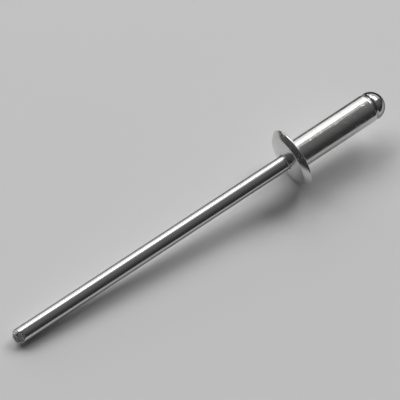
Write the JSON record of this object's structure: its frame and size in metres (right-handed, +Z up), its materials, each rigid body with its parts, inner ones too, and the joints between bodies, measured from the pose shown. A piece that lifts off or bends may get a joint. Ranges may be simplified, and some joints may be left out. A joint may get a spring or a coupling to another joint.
{
  "type": "blind rivet",
  "caption": "Unset blind rivet: a hollow sleeve with a low domed flange, on a long headed wire mandrel with a pinched-off end.",
  "frame": {"origin": "centre of the flange's seat, on the rivet's axis", "axes": "+Z up from the surface that the rivet lies on, +X along the rivet from the pinched end towards the mandrel's head, level, so that the rivet's own axis rises by 4.2 degrees towards the head"},
  "size_m": [0.0466, 0.0066, 0.0067],
  "materials": {
    "rivet_body": "bright cold-formed aluminium alloy, finely pitted",
    "mandrel": "bright drawn steel wire, with shear marks at the pinched end"
  },
  "bodies": {
    "root": {"rivet_body": "rivet_body", "mandrel": "mandrel"}
  },
  "joints": []
}
